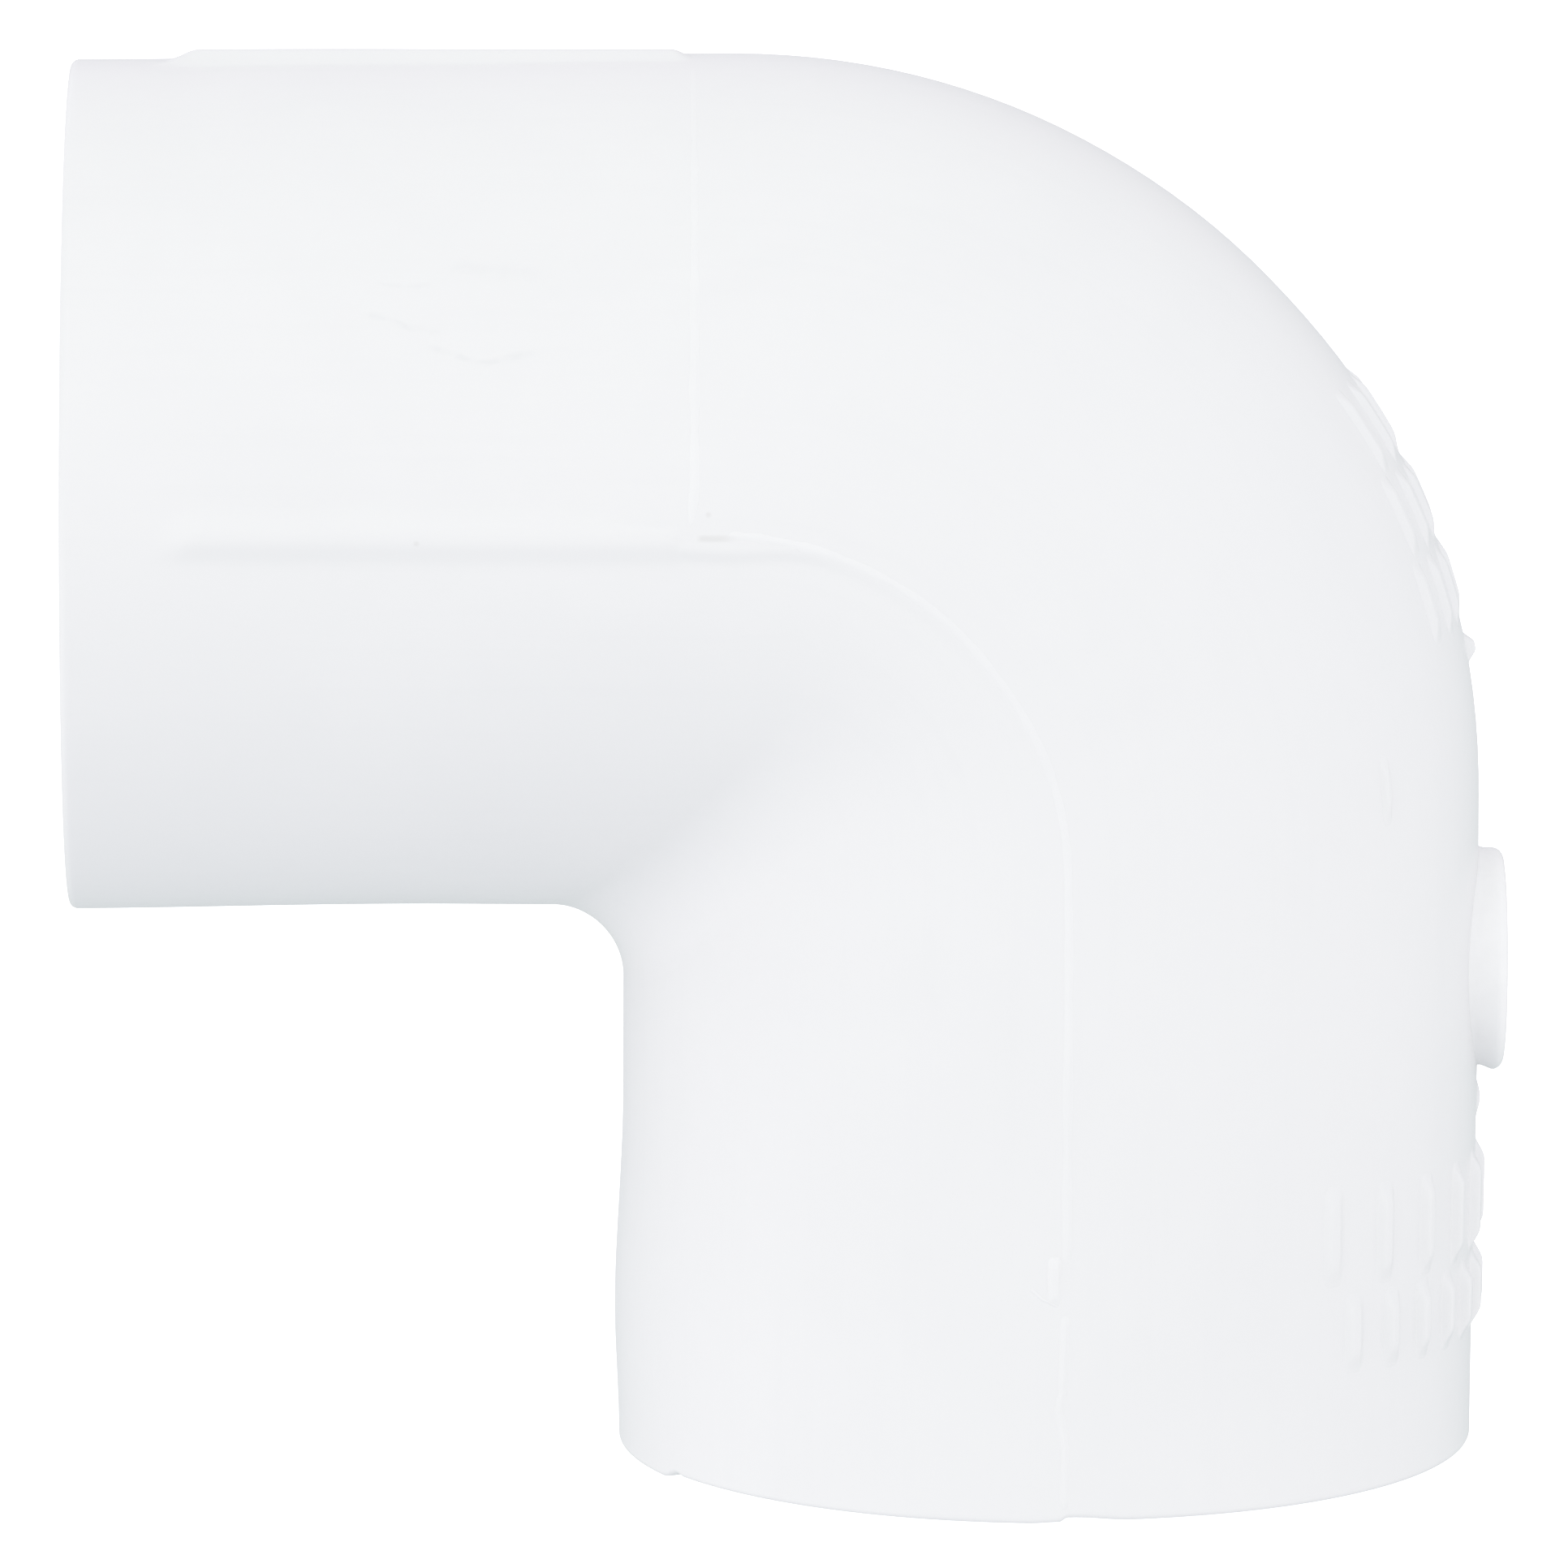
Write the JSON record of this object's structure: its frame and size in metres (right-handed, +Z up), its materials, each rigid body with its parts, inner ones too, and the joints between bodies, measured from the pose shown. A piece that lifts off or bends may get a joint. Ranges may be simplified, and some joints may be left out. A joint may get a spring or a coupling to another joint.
{
  "type": "pipe elbow",
  "caption": "White moulded PVC pipe elbow that turns a right angle, with a plain tapered socket at each end for a cemented pipe, of the kind run from a boiler or furnace.",
  "frame": {"origin": "bottom centre of the part's box, on the plane that the lower socket's rim stands on", "axes": "+Z up along the lower socket's axis, -X along the upper socket's axis and out of its mouth, +Y across the part, square to the plane of both axes"},
  "size_m": [0.056, 0.0338, 0.055],
  "materials": {
    "white_pvc": "injection-moulded white PVC, half gloss, with mould lines and faint flow marks"
  },
  "bodies": {
    "root": {"upper_socket": "white_pvc", "bend": "white_pvc", "lower_socket": "white_pvc"}
  },
  "joints": []
}
